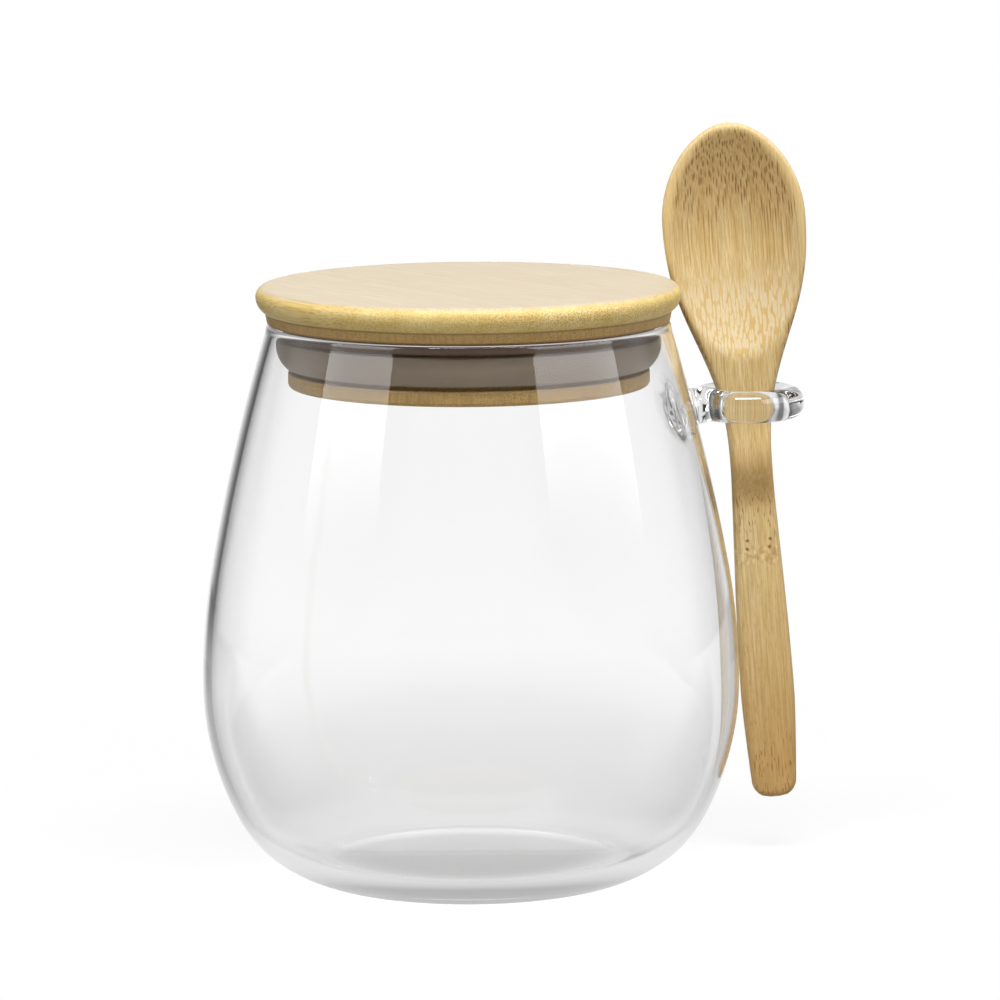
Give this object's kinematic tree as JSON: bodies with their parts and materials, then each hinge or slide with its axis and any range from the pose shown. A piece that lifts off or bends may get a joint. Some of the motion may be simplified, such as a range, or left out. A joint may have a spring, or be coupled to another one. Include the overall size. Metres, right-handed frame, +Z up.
{
  "type": "storage jar",
  "caption": "Pear-shaped clear glass storage jar with a bamboo plug lid on a silicone seal, and a bamboo spoon hanging in a glass loop fused to its side.",
  "frame": {"origin": "centre of the flat base, on the plane that the jar stands on", "axes": "+Z up along the jar's axis, +X towards the loop and the spoon"},
  "size_m": [0.1165, 0.1, 0.1394],
  "materials": {
    "clear_glass": "polished",
    "lid_bamboo": "sanded, fine grain",
    "grey_silicone": "translucent satin",
    "spoon_bamboo": "oiled, coarse grain"
  },
  "bodies": {
    "jar": {"jar_body": "clear_glass", "spoon_loop": "clear_glass"},
    "lid": {"lid": "lid_bamboo", "gasket": "grey_silicone"},
    "spoon": {"spoon": "spoon_bamboo"}
  },
  "joints": [
    {"name": "lid_lift", "type": "slide", "parent": "jar", "child": "lid", "axis": [0, 0, 1], "range_m": [0, 0.02]},
    {"name": "spoon_lift", "type": "slide", "parent": "jar", "child": "spoon", "axis": [-0.0767, 0, 0.9971], "range_m": [0, 0.082]}
  ]
}
